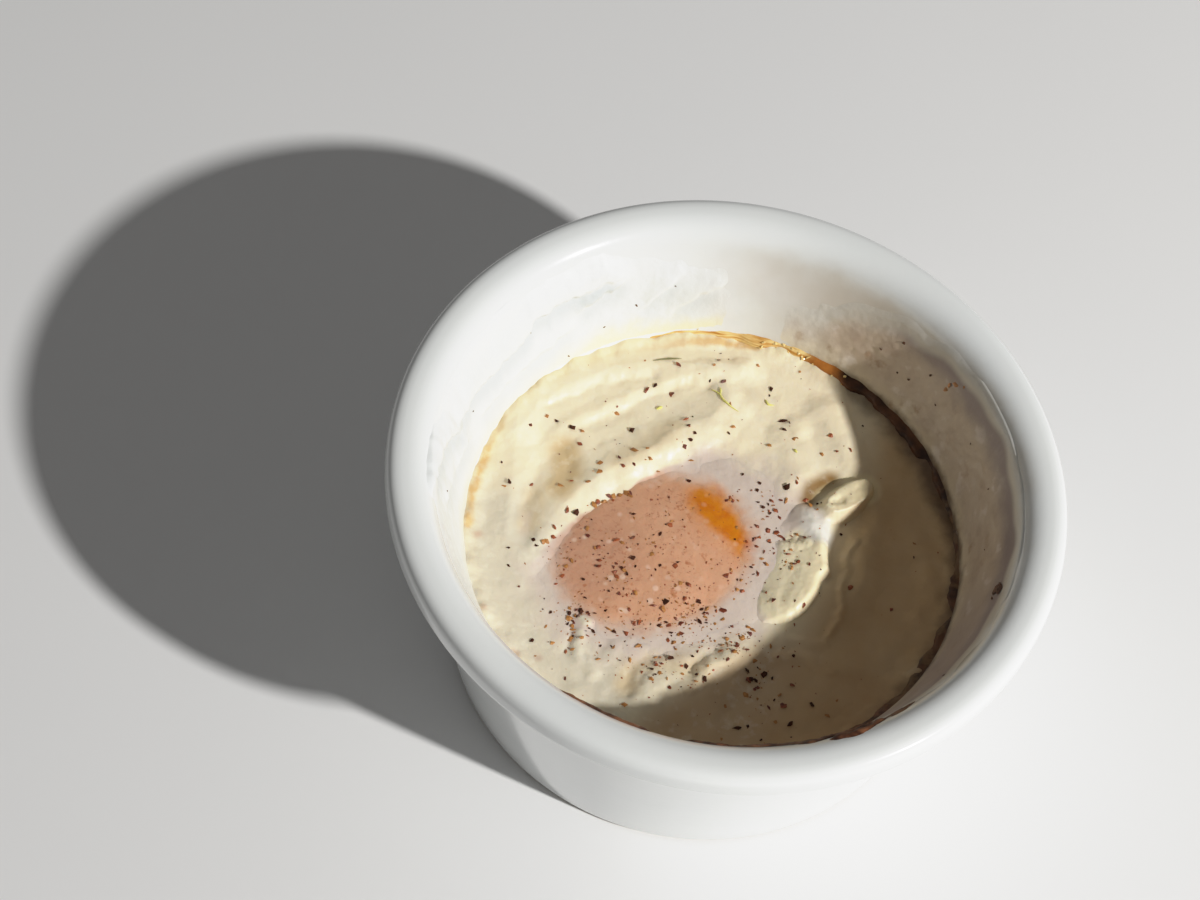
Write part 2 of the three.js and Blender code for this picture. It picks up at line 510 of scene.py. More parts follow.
# ---------------------------------------------------------------- cream


CREAM_REACH = 38.6
CREAM_STEPS = (260, 260)
# how far red, green and blue light go inside the food, against the red
CREAM_GLOW = (1.0, 0.75, 0.45)
YOLK_GLOW = (1.0, 0.5, 0.3)
DISH_ROOM = [
    # radius and height, a little inside the dish's wall
    (1, FLOOR_Z),
    (FLOOR_RADIUS, FLOOR_Z),
    (LOW_WALL_RADIUS - 1, FLOOR_Z + 3),
    (LOW_WALL_RADIUS + 0.1, LOW_WALL_Z),
    (LEVEL_RADIUS + 0.1, LEVEL_Z),
    (LIP_INNER_RADIUS + 0.1, LIP_INNER_Z),
    (1, LIP_INNER_Z),
]
EGG_OUTLINE = [
    (-24.5, -8.5), (-21.5, -4), (-17.5, 2), (-11.5, 7), (-5.5, 11), (-1, 13.5), (6, 12.5),
    (9, 7), (9, 0), (10, -10), (6, -15.5), (-1.5, -18.5), (-13, -18), (-20, -14),
]


def sheet(name, steps, size, middle):
    """A flat square grid, open for editing, to be drawn up into a shape."""
    piece = begin(
        name,
        bpy.ops.mesh.primitive_grid_add,
        x_subdivisions=steps[0],
        y_subdivisions=steps[1],
        size=size * MM,
        location=[place * MM for place in middle],
    )
    edit(piece)
    return piece


def cream_bed():
    """The set cream: a sheet drawn up into swept ridges and hollows, closed below and cut to the dish."""
    piece = sheet("cream_bed", CREAM_STEPS, 2 * CREAM_REACH, (0, 0, BED_Z))
    sweep_cream(piece)
    pick_all()
    bpy.ops.mesh.vertices_smooth(factor=0.5, repeat=2)
    drop_all()
    for size_x, size_y, shift in ((7, 5.5, 2.0), (2.4, 2.9, 0.8)):
        roughen(piece, (size_x, shift), direction="X")
        roughen(piece, (size_y, shift), direction="Y")
    roughen(piece, (9, 0.5), (4.2, 0.4), (2, 0.14), (0.9, 0.04), direction="Z")
    edge = weigh(piece, "edge", lambda at: (np.hypot(at[:, 0], at[:, 1]) - 34.6) / 2.6)
    roughen(piece, (5, 2.4), (1.8, 0.4), weights=edge, direction="Z")
    edit(piece)
    close_below(BED_Z)
    cutter = turned("dish_room", DISH_ROOM, DISH_STEPS)
    finish_with(piece, "BOOLEAN", operation="INTERSECT", object=cutter, solver="EXACT")
    bpy.data.objects.remove(cutter)
    return soft(piece, 70)


BANK = [
    (-26, -9.6), (-25, -6.4), (-23.8, -3), (-22, 0.8), (-19.3, 4.8), (-16.4, 8.5),
    (-14, 11.2), (-11, 14.4), (-8.6, 17.2), (-5.6, 20.5), (-3.5, 24),
]
CREAM_STROKES = [
    # the line, how high it is drawn up, how far that reaches, and its flanks where they aren't round
    # outer step beside the wall, and the crease under it
    (
        [(-33, 10), (-30.5, 16), (-27, 20.6), (-22, 24.7), (-16, 27.9), (-9, 30.2), (-2, 31.5)],
        1.0, 3.4, STRAIGHT,
    ),
    ([(-30, 15.2), (-26, 19.5), (-21, 23), (-15.5, 25.8)], -0.4, 1.4, CRISP),
    # second step
    (
        [(-27, 12), (-24.5, 15.5), (-21, 18.8), (-17, 22.3), (-12, 26.2), (-8, 29), (-3, 30.6)],
        0.6, 2.7, STRAIGHT,
    ),
    ([(-24.5, 13), (-19, 18), (-14.5, 22), (-9.5, 26.5)], -0.4, 1.8, CRISP),
    # bank beside the yolk: a long back and a steep front
    (BANK, 0.8, 4.4, STRAIGHT),
    (BANK[3:], 0.6, 7.4, STRAIGHT),
    (BANK[4:9], 0.25, 2.6, STRAIGHT),
    ([(-18.6, 3.6), (-17.6, 4.6)], 0.25, 1.7),
    ([(-14.6, 8.0), (-13.0, 9.6)], 0.4, 2.1),
    ([(-10.6, 12.4), (-9.6, 13.8)], 0.4, 2.2),
    ([(-6.8, 15.8), (-4.6, 18.8)], 0.4, 2.5),
    ([(-24.6, -8.2), (-23.6, -6)], 0.3, 1.5),
    # hollow at the left end of the bank, with a crisp right side
    ([(-25.3, 8.4), (-23.8, 5.2), (-24.2, 1.8)], -0.15, 3, STRAIGHT),
    ([(-23.6, 11.6), (-22, 8.4), (-20.2, 5.2), (-18.9, 2.8)], 0.3, 2.8),
    # ridge at the left wall, and its furrow
    ([(-33, 9), (-31.8, 3), (-31.3, -3), (-30.3, -9)], 0.7, 3.2, STRAIGHT),
    ([(-26.8, 7.5), (-28.3, 3), (-28.6, -3), (-28, -8.5)], -0.3, 2.2, STRAIGHT),
    # far side: small swells
    ([(-4.4, 27), (-3, 25.6)], 0.5, 2.3),
    ([(1.5, 23.6), (3.5, 22)], -0.35, 2.2, STRAIGHT),
    ([(7.9, 23.9), (8.6, 23.2)], 0.55, 2.4),
    ([(2, 26), (8, 21.5), (10, 17), (9.6, 14.4)], 0.45, 5.5),
    ([(12, 27.5), (15.5, 23), (17.5, 19.3)], 0.8, 4.5),
    # hollow under the tip of the curl
    ([(12.2, 9.8), (13, 13), (15.4, 15.8), (18, 16.8)], -0.35, 3.2),
    # near side: small folds
    ([(-15.4, -19.2), (-14.4, -19.5)], 0.55, 1.4),
    ([(-14.9, -21.4), (-14.6, -24), (-14.2, -26)], 0.3, 0.9, STRAIGHT),
    ([(-16.4, -21), (-16.2, -25)], -0.25, 1.1, CRISP),
    ([(-2, -20.3), (-5, -22.4), (-6.5, -24.5), (-6.4, -29.2)], -0.16, 1.6),
    ([(-3.4, -21.6), (-5.2, -22.8), (-6.5, -24.7), (-6.3, -28)], -0.14, 0.9),
    ([(3, -20.4), (-0.5, -22.6), (-2.6, -25.6), (-2.6, -30)], 0.25, 3),
    ([(4.6, -19.2), (1.6, -22.6)], -0.4, 1.4, STRAIGHT),
    ([(6.6, -18.6), (4.4, -21), (2.6, -24.6), (1.4, -27)], 0.35, 1.7),
    ([(-3.6, -24.6), (-4, -27.6)], 0.15, 0.9),
    ([(-9.6, -22.6), (-10.4, -25.2)], 0.22, 1.3),
    ([(-12.4, -26.4), (-11.6, -27.6)], 0.35, 1.8),
    ([(-13, -31), (-4, -31.6), (4, -28.6), (9, -23.6)], 0.4, 2.6),
    ([(-4, -29.6), (1, -26.8), (5, -23.4), (8, -19)], 0.8, 4.4),
    # trough that keeps the shade close to the curl, and the flat right side with its low wrinkles
    ([(20.2, 11.6), (19.6, 9), (19.2, 6), (19.4, 3), (20, 0.8)], -1.3, 3.8),
    (
        [(21.3, 7), (20.6, 4), (21.1, 1), (20.3, -2), (21.1, -5), (20.9, -8), (20.3, -11)],
        0.5, 1.0, CRISP,
    ),
    ([(13.5, -16.6), (18, -15.6), (22.5, -16.6)], 0.3, 1.5),
    ([(14.5, -12.8), (18, -13), (20, -12.4)], 0.25, 1.1),
    ([(26, 8), (28, 2), (27, -5)], -0.4, 6),
    ([(33, 4), (34, 0), (33, -4)], 0.35, 2.5),
]


def sweep_cream(piece):
    """The strokes that a spoon left, from the wall to the egg, and the bed that the egg lies in."""
    around = points(piece)
    pick(piece, np.hypot(around[:, 0], around[:, 1]) > LEVEL_RADIUS - 0.6)
    pull(0.7, 3.5, CRISP)
    draw(piece, CREAM_STROKES)
    press(piece, EGG_OUTLINE, -0.3, 6)


def lit_through(name, share, depth, tint, coat, coat_roughness):
    """A finish that light enters to a depth in millimetres, under a moist coat."""
    return Finish(
        name,
        Subsurface_Weight=share,
        Subsurface_Scale=depth * MM,
        Subsurface_Radius=tint,
        Coat_Weight=coat,
        Coat_Roughness=coat_roughness,
    )


def set_cream():
    """Ivory cream with a satin skin."""
    finish = lit_through("set_cream", 0.2, 1.6, CREAM_GLOW, 0.1, 0.25)
    bank = finish.x.ramp(-4, -9)
    leaf = finish.from_line([(15, 13.6), (18, 14.6), (20.4, 16)]).ramp(4.4, 2.8)
    bare = on_slab(finish).most(leaf) * 0.85
    covered = finish.z.ramp(25.35, 25.05) * bank + finish.z.ramp(26.4, 25.3) * (1 - bank) * (1 - bare)
    finish.use(Base_Color=egg_over(finish, covered))
    finish.use(Roughness=0.34 + finish.cloud(2.5, shift=3) * 0.2)
    return finish.bump(finish.cloud(0.7, detail=4) * 0.6 + finish.cloud(2.4, shift=5) * 0.4, 0.1)


def on_slab(finish):
    """1 on the thick slab of the curl."""
    return finish.from_line([(14, 2), (13.6, -3), (12.6, -7)]).ramp(4.8, 3.2)


def cream_tone(finish):
    """Ivory, whiter where white of egg ran over it, tan in its hollows and where it baked; painted shade
    deepens the hollows, the right and near side, behind the curl's tip and the browned foot of the right
    wall.
    """
    drift = finish.cloud(7, detail=4)
    ran_over = finish.from_line([(-31, -8), (-25, -19), (-14, -26), (-9.5, -27)]) + (drift - 0.5) * 6
    # tan, partly painted shade: in the hollows, and over the right side where the dish shades the food
    hollows = [
        finish.from_line([(-25.4, 8.6), (-23.8, 4.4), (-24.4, 1.6)]).ramp(3.6, 0.8),
        finish.from_line([(-6.4, -28), (-6.4, -24.8), (-3, -22), (2, -21.6)]).ramp(3.2, 0.4) * 0.6,
        finish.from_line([(-27.4, -1), (-27, -6)]).ramp(3, 0.5) * 0.5,
        finish.from_line([(-17, 8.4), (-13.4, 12.6), (-10, 17.4)]).ramp(3, 0.4) * 0.4,
        (finish.x - finish.y * 0.1).ramp(14, 23) * 0.9,
    ]
    tan = hollows[0]
    for hollow in hollows[1:]:
        tan = tan.most(hollow)
    # dark tan and painted shade in the hollow behind the curl's tip
    shade_behind_tip = finish.from_line([(12.4, 11.2), (13, 13.6), (15.2, 16)]).ramp(2.6, 0.5)
    baked = finish.out.ramp(34.4, 37.6) * (0.3 + finish.cloud(6, shift=40) * 0.9) * finish.y.ramp(-24, -4)
    # painted shade where the dish's wall shades the food: the right side and the near side
    near_shade = (finish.x - finish.y * 0.8).ramp(20, 27) * finish.y.ramp(-8, -18) * 1.35
    shadowed = finish.x.ramp(17, 26).most((finish.x - finish.y * 0.5).ramp(17, 26)).most(near_shade)
    shadowed = shadowed * (0.6 + drift * 0.6)
    stroke = finish.waver(2, 1.6, detail=3, shift=47)
    left_gold = finish.from_line([(-36, -9), (-36.7, -3), (-36.7, 4), (-35.9, 10), (-34, 15)]) + stroke
    back_gold = finish.from_line([(-1, 36.6), (-8, 35.4), (-14, 32.9), (-19, 30)]) + stroke
    faint = finish.cloud(3, detail=2, shift=52).ramp(0.3, 0.6)
    left_gold = left_gold.ramp(1.1, 0.1) * (0.25 + faint * 0.45) * finish.y.ramp(13, 6)
    gold = left_gold.most(back_gold.ramp(1.1, 0.1) * finish.x.ramp(-22, -6) * 0.7)
    # dark brown at the foot of the right wall: browning, and painted shade
    brown = finish.out + finish.waver(3, 2.6, shift=44)
    burnt = (brown - finish.turn.ramp(32, 12) * 1.5).ramp(33.2, 36.7) * burnt_and_shaded_side(finish)
    dabs = finish.from_point(-23.4, -27.8)
    for x, y in ((-34, -10), (-20, -27.4), (-30, -22)):
        dabs = dabs.least(finish.from_point(x, y))
    dabs = (dabs + stroke).ramp(1.2, 0.1)
    curd = finish.cloud(1.6, detail=4, shift=9).ramp(0.52, 0.75) * finish.x.ramp(17, 12)
    leaf = finish.from_line([(16, 12.6), (18, 14.6), (20.6, 16)]).ramp(3.2, 2.2)
    neck = finish.from_line([(13.6, 7.6), (15.4, 6)]).ramp(3.2, 1.4)
    return finish.coated(
        finish.mix(drift, srgb(238, 221, 186), srgb(247, 235, 206)),
        (ran_over.ramp(12, 4) * 0.85, srgb(217, 208, 187)),
        # tan, with painted shade in the hollows
        (tan * (0.6 + drift * 0.7), srgb(216, 188, 140)),
        # painted shade and dark tan behind the curl's tip
        (shade_behind_tip, srgb(150, 117, 70)),
        (baked * 0.4, srgb(238, 214, 160)),
        # painted shade, tan-brown
        (shadowed * 0.6, srgb(186, 146, 100)),
        (gold, srgb(214, 166, 88)),
        # browned, and painted shade at the right wall
        (burnt * 0.85, finish.mix(drift, srgb(66, 42, 24), srgb(104, 70, 40))),
        (dabs * 0.45, srgb(196, 150, 122)),
        (curd * 0.25, srgb(250, 244, 226)),
        (on_slab(finish).most(leaf) * 0.35, srgb(246, 234, 188)),
        (neck * 0.9, srgb(234, 230, 220)),
    )


def burnt_and_shaded_side(finish):
    """1 at the right of the dish, where the oven was hottest and the dish's shade falls, and 0 at the left.
    """
    return (finish.turn - HOT_TURN).unsigned().ramp(66, 36)


def white_tone(finish):
    """Just-set white, a little lilac."""
    return finish.mix(finish.cloud(5), srgb(208, 190, 176), srgb(226, 210, 197))


def film_tone(finish):
    """Cooked film over the yolk, orange where it is open."""
    mauve = finish.from_point(-18, -9).ramp(13, 2)
    streak = finish.from_line([(-1.0, 6.2), (1.4, 4.9), (4.3, 3.4), (7, 1.9)])
    streak = streak + finish.waver(2.2, 3.4, shift=7)
    open_yolk = finish.mix(finish.cloud(1.4, shift=2), srgb(196, 98, 0), srgb(220, 142, 10))
    rusty = finish.from_point(6.2, 0.8) + finish.waver(1.6, 3, detail=3, shift=8)
    stains = finish.cloud(1.2, detail=3, shift=60).ramp(0.6, 0.72)
    stains = stains * finish.cloud(7, detail=1, shift=63).ramp(0.45, 0.6)
    fine = finish.cloud(0.6, detail=2, shift=71).ramp(0.56, 0.7)
    fine = fine * finish.cloud(4, detail=2, shift=74).ramp(0.4, 0.6)
    bubbles = finish.cells(2.1).ramp(0.32, 0.12) * finish.cloud(3.2, detail=1, shift=31).ramp(0.38, 0.48)
    left = finish.from_line([(-18, 1), (-17, -8), (-8, -14), (0, -15)]).ramp(7, 3)
    return finish.coated(
        finish.mix(finish.cloud(6, detail=4), srgb(205, 151, 117), srgb(225, 174, 139)),
        (mauve * 0.5, srgb(190, 142, 118)),
        (streak.ramp(7.5, 1.5) * 0.6, srgb(216, 142, 78)),
        (streak.ramp(4.9, 2.5), open_yolk),
        (rusty.ramp(2.6, 0.8) * 0.6, srgb(196, 92, 28)),
        (stains * 0.6, srgb(176, 100, 50)),
        (fine * 0.4, srgb(170, 92, 56)),
        (bubbles * (0.2 + left * 0.5), srgb(234, 204, 182)),
    )


def egg_over(finish, share=1.0):
    """Cream, white and yolk as one: each fades into the next, whichever piece it lies on."""
    pool = lean_radius(finish, *WHITE_PLACE[:5]) + finish.waver(4, 0.4, shift=20)
    rim = lean_radius(finish, *YOLK_PLACE[:5]) + finish.waver(3.5, 0.26, detail=5, shift=14)
    return finish.coated(
        cream_tone(finish),
        (pool.ramp(1.18, 0.86) * share, white_tone(finish)),
        (rim.ramp(0.98, 0.71) * share, film_tone(finish)),
    )


# ---------------------------------------------------------------- egg


EGG_RINGS = 72


def egg_round(name, place, top, underside, steps):
    """A leaning oval of egg, turned from its top's and underside's profiles, then drawn out."""
    x, y, radius, stretch, lean, z = place
    rings = [(max(share, 0.01), top(share)) for share in np.linspace(0, 1, EGG_RINGS)]
    rings += [(share, underside(share)) for share in np.linspace(0.97, 0.01, 12)]
    piece = turned(name, rings, steps)
    piece.scale = (radius + stretch, radius - stretch, 1)
    piece.rotation_euler = (0, 0, math.radians(lean))
    piece.location = (x * MM, y * MM, z * MM)
    only(piece)
    bpy.ops.object.transform_apply(location=True, rotation=True, scale=True)
    return piece


# where each lies: its middle, its radius, how far it is drawn out, its lean in degrees, its height
WHITE_PLACE = (-5.8, -3.5, 19.8, 2.5, 40, 24.76)
YOLK_PLACE = (-8, -4.6, 16.8, 1.7, 45, 24.86)


def egg_white_pool():
    """The white: a low pool that thins out to its edge."""

    def top(out):
        return 0.35 * (1 - out * out) - 0.3 * out**24

    def underside(out):
        return -0.5 - 2.7 * (1 - out * out)

    piece = egg_round("egg_white_pool", WHITE_PLACE, top, underside, steps=160)
    roughen(piece, (6, 0.3), (2, 0.12), direction="Z")
    return soft(piece, 80)


def yolk_dome():
    """The yolk: a low dome that runs out flat under the white's film."""

    def top(out):
        return 1.35 * math.cos(out * math.pi / 2) ** 1.4 - 0.5 * out**6

    def underside(out):
        return -0.5 - 5.5 * (1 - out * out)

    piece = egg_round("yolk_dome", YOLK_PLACE, top, underside, steps=200)
    roughen(piece, (7, 0.4), (1.8, 0.13), (0.7, 0.05), direction="Z")
    return soft(piece, 80)


def set_white():
    """Just-set white, a little clear and moist on top."""
    finish = lit_through("set_white", 0.2, 1.6, CREAM_GLOW, 0.15, 0.2)
    finish.use(Base_Color=egg_over(finish), Roughness=0.28 + finish.cloud(2) * 0.15)
    return finish.bump(finish.cloud(1.2, detail=4), 0.12)


def lean_radius(finish, x, y, radius, stretch, lean):
    """0 in the middle of a leaning oval and 1 at its rim."""
    turn = math.radians(lean)
    off_x, off_y = finish.x - x, finish.y - y
    along = (off_x * math.cos(turn) + off_y * math.sin(turn)) / (radius + stretch)
    across = (off_y * math.cos(turn) - off_x * math.sin(turn)) / (radius - stretch)
    return hypotenuse(along, across)


def cooked_yolk():
    """Yolk under its film: moist and a little clear."""
    finish = lit_through("cooked_yolk", 0.3, 1.8, YOLK_GLOW, 0.4, 0.15)
    finish.use(Base_Color=egg_over(finish), Roughness=0.22 + finish.cloud(1.5) * 0.2)
    return finish.bump(finish.cloud(0.9, detail=4), 0.12)


# ---------------------------------------------------------------- curl of cream


CURL_OUTLINE = [
    (5.6, -7.6), (8, -11.6), (10.8, -12.6), (13.2, -11.6), (15.2, -9.9), (16.7, -8), (17.7, -5.2),
    (17.9, -2.4), (18.8, -0.2), (18, 1.8), (17.4, 4.4), (17.3, 7), (17.7, 8.6), (19.4, 10),
    (21.1, 12.1), (22.1, 14.3), (22.3, 16.4), (21.6, 18), (18.8, 18.9), (16, 18.5), (13.6, 17),
    (11.8, 14.8), (10, 13.2), (7.6, 12), (6, 5),
]
CURL_LEAF = [
    (15.2, 10.4), (15.7, 12.6), (17.2, 14.8), (18.9, 16.4), (20.7, 16.9), (21.9, 16), (21.6, 14.4),
    (20.4, 12.6), (18.8, 10.8), (17, 9.6),
]
# the sheet that the curl is drawn up from: its grid, its size and its middle
CURL_STEPS = (110, 240)
CURL_SHEET = 32
CURL_MIDDLE = (15, 3.5, 24.2)
CURL_FOOT_Z = 23.6
SLAB_AND_NECK_STROKES = [
    # slab: a long rise from the egg to the crest
    ([(16.6, 3.2), (17.2, 0.5), (16.9, -4), (15, -8)], 2.25, 9.9, STRAIGHT),
    ([(12, 0), (12.2, -4), (12.4, -7)], 0.12, 4.2),
    ([(14.8, 1.4), (15, -3), (14, -7)], 0.15, 2),
    ([(10.4, 4.0), (12.2, 4.4), (13.3, 5.0)], -0.25, 1.6),
    ([(10.6, 2.2), (12.6, 2.7), (13.8, 3.4)], 0.2, 1),
    ([(7.4, -7), (8.4, -10.6), (10.6, -12.4)], -0.4, 4.4),
    # neck: low and broad, so that its back stays light
    ([(14.6, 8.2), (16, 6), (16.6, 4)], 0.3, 3.4),
    ([(12.6, 8.8), (13.4, 6.8)], 0.6, 2.8),
]
LEAF_STROKES = [
    # the torn tip, which lies nearly flat above the hollow behind it
    ([(20.6, 14.6), (22.0, 16.4)], 0.6, 4.5),
    ([(15.6, 12.6), (17.4, 14.8), (19.4, 16.6)], 0.2, 1.4),
    ([(15.4, 12.8), (16.4, 12), (17.4, 12.2)], -0.3, 0.9),
]


def cream_curl():
    """The curl: a sheet of cream dragged up to a crest and a torn tip, cut off along its outline."""
    piece = sheet("cream_curl_sheet", CURL_STEPS, CURL_SHEET, CURL_MIDDLE)
    pick_all()
    bpy.ops.transform.resize(value=(0.5, 1, 1), center_override=(CURL_MIDDLE[0] * MM, 0, 0))
    draw(piece, SLAB_AND_NECK_STROKES)
    press(piece, CURL_LEAF, 1.75, 1.9, CRISP)
    draw(piece, LEAF_STROKES)
    at = points(piece)
    outside = ~within(at, CURL_OUTLINE)
    # its right and near edges drop off steeply
    pick(piece, outside & (4.2 * at[:, 0] - 5.5 * at[:, 1] > -6))
    pull(-2.0, 1.8, CRISP)
    pick(piece, outside)
    bpy.ops.transform.resize(value=(1, 1, 0), center_override=(0, 0, CURL_FOOT_Z * MM))
    pick_all()
    bpy.ops.mesh.vertices_smooth(factor=0.5, repeat=3)
    drop_all()
    top = weigh(piece, "top", lambda at: (at[:, 2] - 24.5) * 2)
    roughen(piece, (3.4, 0.45), (1.3, 0.12), weights=top)
    torn = weigh(piece, "torn", lambda at: 1 - np.hypot(at[:, 0] - 16.4, (at[:, 1] - 11.6) * 0.9) / 2.8)
    roughen(piece, (0.9, 0.5), weights=torn)
    grainy = weigh(piece, "grainy", lambda at: 1 - np.hypot(at[:, 0] - 12, at[:, 1] - 3.2) / 2.8)
    roughen(piece, (0.8, 0.5), weights=grainy)
    edit(piece)
    close_below(0.8)
    return soft(piece, 80)


# ---------------------------------------------------------------- films and crusts on the dish


# how far the face and the back of a band on the wall lie inside the glaze
BAND_SUNK = 0.08
BAND_DEPTH = 0.8


def wall_band(name, low, high, steps, row):
    """A hollow band that follows the inner wall, its face in the glaze until relief lifts it out."""
    heights = np.arange(low, high + row / 2, row)
    face = [(wall_radius(z) + BAND_SUNK, z) for z in heights]
    back = [(wall_radius(z) + BAND_DEPTH, z) for z in (high, low)]
    return turned(name, [*face, *back], steps, hollow=True)


def raised(piece, name, share, most):
    """Lifts the band out of the wall, by a share of the most millimetres at each vertex."""
    group = weigh(piece, name, share)
    finish_with(piece, "DISPLACE", strength=most * MM, mid_level=0, vertex_group=group)
    return group


def angle_of(at):
    """The direction of each point from the dish's axis, 0 to 360 degrees."""
    return np.degrees(np.arctan2(at[:, 1], at[:, 0])) % 360


def hump(value, low, high, soft_low, soft_high):
    """1 between low and high, falling to 0 over the two soft margins outside them."""
    rise = np.clip((value - low + soft_low) / soft_low, 0, 1)
    fall = np.clip((high + soft_high - value) / soft_high, 0, 1)
    return rise * rise * (3 - 2 * rise) * fall * fall * (3 - 2 * fall)


def turn_of(at):
    """The direction of each point from the dish's axis, -180 to 180 degrees."""
    return (angle_of(at) + 180) % 360 - 180


def uneven(turn, *waves):
    """A wandering line round the dish, about -1 to 1: sums of waves that start anywhere."""
    line = sum(np.sin(np.radians(turn) * wave + wave * wave) for wave in waves)
    return line / math.sqrt(len(waves))


FILM_ROUND = [
    # direction, the film's upper edge and its thickness
    (-180, 41, 0.22), (-160, 41, 0.22), (-130, 39.6, 0.15), (-60, 40.2, 0.2), (-10, 41.8, 0.24),
    (15, 42, 0.26), (45, 41.6, 0.28), (60, 40.2, 0.26), (76, 36, 0.2), (84, 33, 0.12),
    (90, 30.2, 0.05), (96, 30.5, 0.05), (104, 35, 0.1), (118, 39, 0.18), (135, 41, 0.22),
    (150, 41, 0.22), (180, 41, 0.22),
]
FILM_TURNS, FILM_TOPS, FILM_STEPS = zip(*FILM_ROUND)
FILM_LEDGES = [
    # the lower edge of each thick flake, as direction and height, and the flake's thickness
    ([(100, 35), (106, 33), (115, 28.5)], 0.35),
    ([(110, 36.5), (116, 33.5), (122, 29.5)], 0.4),
    ([(122, 37), (130, 35), (138, 33.5)], 0.55),
    ([(124, 37.5), (135, 37), (148, 37), (151, 35), (161, 34.5), (172, 36), (181, 35.5)], 0.9),
    ([(177, 33.5), (185, 38), (195, 41), (203, 42.5)], 0.8),
    ([(136, 31.5), (148, 30), (160, 30), (172, 30.5)], 0.4),
    ([(174, 30), (185, 32), (200, 36)], 0.5),
]


def by_ledge(at, margin):
    """For each ledge: its flake's thickness, how high each point is above it, and 1 between its ends."""
    turn = angle_of(at)
    ragged = 0.25 * uneven(turn_of(at), 37, 61, 83, 131)
    for ledge, thick in FILM_LEDGES:
        turns, heights = zip(*ledge)
        above = at[:, 2] - (np.interp(turn, turns, heights) + ragged)
        yield thick, above, hump(turn, turns[0] + margin, turns[-1] - margin, margin, margin)


def wall_film():
    """Thin film of egg baked on the inner wall, with thicker flakes that end in a ledge."""
    piece = wall_band("wall_film", low=25.0, high=43.2, steps=720, row=0.27)

    def film_top(at):
        turn = turn_of(at)
        return np.interp(turn, FILM_TURNS, FILM_TOPS) + 0.6 * uneven(turn, 5, 11, 17, 31)

    def spread(at):
        turn = turn_of(at)
        step = np.interp(turn, FILM_TURNS, FILM_STEPS)
        film = step * hump(film_top(at) - at[:, 2], 0, 60, 2.4, 1)
        for thick, above, along in by_ledge(at, margin=5):
            film += thick * hump(above, 0.7, 0.7, 0.7, 5) * along
        return film * (0.3 + 0.7 * hump(at[:, 2], 27.6, 60, 2.2, 1))

    def curds(at):
        turn = angle_of(at)
        far = 0.5 * hump(turn, 118, 150, 16, 20) * hump(at[:, 2], 29, 37, 2, 3)
        left = 0.6 * hump(turn, 180, 214, 20, 12) * hump(at[:, 2], 34, 41.5, 4, 1)
        right = 0.6 * hump(turn, 8, 78, 12, 8) * hump(at[:, 2], 27, 35, 2, 4)
        return np.maximum.reduce([far, left, right])

    def painted_ledge_shades(at):
        """Painted shade: 1 just under each ledge, fading out further down."""
        shade = np.zeros(len(at))
        for thick, above, along in by_ledge(at, margin=4):
            reach = hump(-above, 0.2, 0.8, 0.6, 3.4) * along
            shade = np.maximum(shade, reach * min(1, thick * 1.4))
        return shade

    film = raised(piece, "film", spread, most=1.0)
    roughen(piece, (4.5, 0.5), (1.6, 0.3), weights=film)
    curd = weigh(piece, "curds", curds)
    roughen(piece, (2.6, 0.6), (1.0, 0.3), weights=curd)
    drop_all()
    at = kept_points(piece)
    # the painted shade under the ledges, and how far each point lies below the film's top
    shades = {"painted_ledge_shade": painted_ledge_shades(at), "film_depth": film_top(at) - at[:, 2]}
    for name, values in shades.items():
        kept = piece.data.attributes.new(name, "FLOAT", "POINT")
        kept.data.foreach_set("value", values)
    return soft(piece, 80)


def baked_film():
    """White at the back and left; to the right beige, mottled and browner, partly painted shade, with
    painted grey-mauve shade near the lip at the right.
    """
    finish = Finish("baked_film", Coat_Weight=0.2, Coat_Roughness=0.15)
    blotch = finish.cloud(6, detail=4)
    mottle = finish.cloud(3.6, detail=4, shift=21)
    # painted shade: how far up the right wall it greys towards the lip
    upper = (finish.z + (mottle - 0.5) * 3).ramp(35.8, 40.4)
    beige = finish.coated(
        finish.mix(blotch, srgb(186, 165, 142), srgb(211, 195, 175)),
        (mottle.ramp(0.5, 0.72) * 0.45, srgb(168, 144, 124)),
        (mottle.ramp(0.44, 0.3) * 0.6, srgb(228, 216, 206)),
        (upper * 0.9, srgb(140, 126, 127)),
        # painted shade: mauve-grey over the right of the wall
        (finish.turn.ramp(8, -22) * 0.55, srgb(160, 147, 148)),
    )
    side = oven_haze_and_shade(finish)
    low = (finish.z + finish.waver(4, 5, detail=3, shift=12)).ramp(30.5, 26)
    yellowed = finish.turn.ramp(92, 108) * finish.turn.ramp(150, 128)
    scorched = (finish.z + finish.waver(2.4, 3, shift=33)).ramp(28.2, 25.9) * burnt_and_shaded_side(finish)
    stain = finish.cloud(3.5, detail=4, shift=50).ramp(0.6, 0.75) * side * finish.z.ramp(37, 31)
    film = finish.coated(
        finish.mix(blotch, srgb(224, 227, 224), srgb(234, 236, 233)),
        # beige share: oven haze with painted shade
        (side, beige),
        (low * (0.35 + yellowed * 0.55), srgb(244, 231, 192)),
        (scorched * 0.85, srgb(74, 44, 24)),
        # painted shade: blue-grey just under each flake's ledge
        (finish.attribute("painted_ledge_shade") * 0.8, srgb(200, 206, 208)),
        (stain * 0.6, srgb(150, 112, 76)),
    )
    depth = finish.attribute("film_depth") * (1 - finish.turn.ramp(45, 70) * 0.65)
    film = finish.mix(depth.ramp(0, 1.4), hazed_and_shaded(finish, side), film)
    finish.use(Base_Color=film, Roughness=0.3 + blotch * 0.2)
    return finish.bump(finish.cloud(0.8, detail=4) * 0.6 + mottle * 0.4, 0.1)


